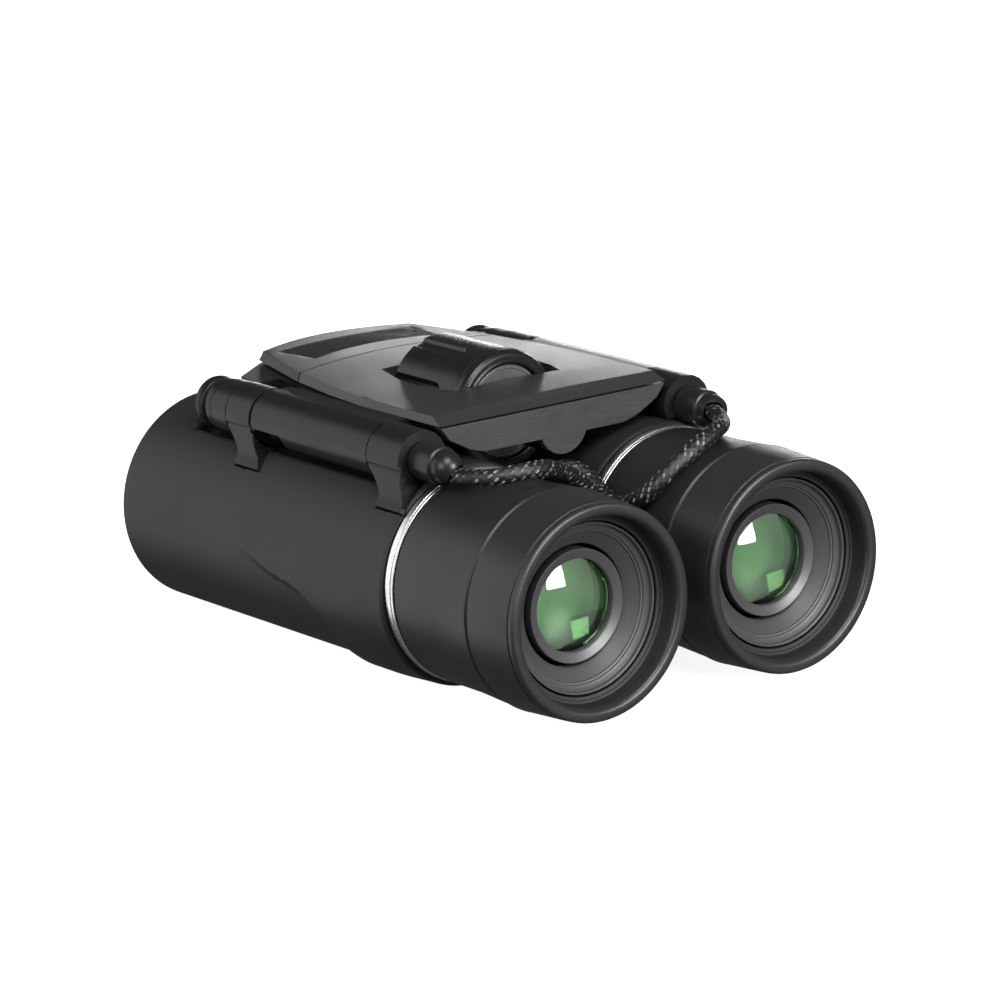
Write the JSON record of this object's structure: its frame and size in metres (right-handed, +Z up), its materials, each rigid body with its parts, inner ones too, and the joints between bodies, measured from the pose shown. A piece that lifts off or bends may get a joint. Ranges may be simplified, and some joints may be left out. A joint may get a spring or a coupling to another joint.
{
  "type": "binoculars",
  "caption": "Compact folding binoculars: hinged rubber-armoured barrels, a central focus wheel in a sloped bridge cover, soft eyecups, bright trim rings and a black braided neck cord.",
  "frame": {"origin": "middle of the binoculars' footprint, on the surface that the barrels lie on, with the neck cord left out", "axes": "+Y from the eyecups to the objectives, +Z up through the bridge cover, +X to the user's right"},
  "size_m": [0.0679, 0.1395, 0.0438],
  "materials": {
    "rubber_armour": "matte black rubber armour, fine grain",
    "rubber_eyecup": "soft black rubber, satin",
    "cast_black": "black painted die casting, fine texture",
    "pin_black": "gloss black steel",
    "soft_black": "matte black plastic",
    "cover_satin": "satin charcoal cover with a fine grain",
    "brushed_plate": "dark brushed aluminium",
    "gloss_black": "gloss black plastic",
    "bright_ring": "bright polished ring",
    "steel": "plain machined steel",
    "coated_glass": "optical glass with a green anti-reflection coating",
    "prism_glass": "clear optical glass",
    "strap_cord": "black braided cord with pale flecks"
  },
  "bodies": {
    "bridge": {"bridge_frame": "cast_black", "rear_end_plate": "brushed_plate", "top_cover": "cover_satin", "front_cover": "cover_satin", "name_inlay": "gloss_black", "left_hinge_pin": "pin_black", "right_hinge_pin": "pin_black", "left_pin_cap": "cast_black", "right_pin_cap": "cast_black", "strap_left": "strap_cord", "strap_right": "strap_cord", "strap_coil": "strap_cord"},
    "left_barrel": {"left_armour": "rubber_armour", "left_barrel_tube": "cast_black", "left_rear_lug": "cast_black", "left_front_lug": "cast_black", "left_objective_bezel": "soft_black", "left_prism_holder": "soft_black", "left_half_penta_prism": "prism_glass", "left_roof_prism": "prism_glass", "left_trim_ring": "bright_ring", "left_eyepiece_sleeve": "soft_black", "left_eyecup": "rubber_eyecup", "left_eyepiece_cone": "soft_black", "left_lens_tube": "soft_black", "left_eye_lens_ring": "gloss_black", "left_eye_lens": "coated_glass", "left_field_lens": "prism_glass"},
    "right_barrel": {"right_armour": "rubber_armour", "right_barrel_tube": "cast_black", "right_rear_lug": "cast_black", "right_front_lug": "cast_black", "right_objective_bezel": "soft_black", "right_prism_holder": "soft_black", "right_half_penta_prism": "prism_glass", "right_roof_prism": "prism_glass", "right_trim_ring": "bright_ring"},
    "right_dioptre_ring": {"right_eyepiece_sleeve": "soft_black", "right_eyecup": "rubber_eyecup", "right_eyepiece_cone": "soft_black"},
    "right_ocular": {"right_lens_tube": "soft_black", "right_eye_lens_ring": "gloss_black", "right_eye_lens": "coated_glass", "right_field_lens": "prism_glass"},
    "left_objective": {"left_objective_cell": "cast_black", "left_objective_lens": "coated_glass", "left_objective_lock_ring": "cast_black", "left_focus_rod": "steel"},
    "right_objective": {"right_objective_cell": "cast_black", "right_objective_lens": "coated_glass", "right_objective_lock_ring": "cast_black", "right_focus_rod": "steel"},
    "focus_drive": {"focus_wheel": "soft_black", "focus_wheel_disc": "brushed_plate", "focus_shaft": "steel"},
    "carriage": {"focus_carriage": "steel"}
  },
  "joints": [
    {"name": "left_barrel_fold", "type": "hinge", "parent": "bridge", "child": "left_barrel", "pos_m": [-0.024, 0, 0.0338], "axis": [0, 1, 0], "range_deg": [0, 66]},
    {"name": "right_barrel_fold", "type": "hinge", "parent": "bridge", "child": "right_barrel", "pos_m": [0.024, 0, 0.0338], "axis": [0, -1, 0], "range_deg": [0, 66]},
    {"name": "focus_turn", "type": "hinge", "parent": "bridge", "child": "focus_drive", "pos_m": [0, 0, 0.0348], "axis": [0, 1, 0], "range_deg": [-180, 180]},
    {"name": "carriage_slide", "type": "slide", "parent": "bridge", "child": "carriage", "axis": [0, 1, 0], "range_m": [-0.00122, 0.00122]},
    {"name": "left_objective_slide", "type": "slide", "parent": "left_barrel", "child": "left_objective", "axis": [0, 1, 0], "range_m": [-0.00122, 0.00122]},
    {"name": "right_objective_slide", "type": "slide", "parent": "right_barrel", "child": "right_objective", "axis": [0, 1, 0], "range_m": [-0.00122, 0.00122]},
    {"name": "dioptre_turn", "type": "hinge", "parent": "right_barrel", "child": "right_dioptre_ring", "pos_m": [0.01745, 0, 0.0165], "axis": [0, 1, 0], "range_deg": [-60, 60]},
    {"name": "ocular_slide", "type": "slide", "parent": "right_barrel", "child": "right_ocular", "axis": [0, 1, 0], "range_m": [-0.001, 0.001]}
  ],
  "couplings": [
    {"joint": "carriage_slide", "follows": "focus_turn", "m_per_rad": 0.000382},
    {"joint": "left_objective_slide", "follows": "focus_turn", "m_per_rad": 0.000382},
    {"joint": "right_objective_slide", "follows": "focus_turn", "m_per_rad": 0.000382},
    {"joint": "ocular_slide", "follows": "dioptre_turn", "m_per_rad": 0.00095}
  ]
}
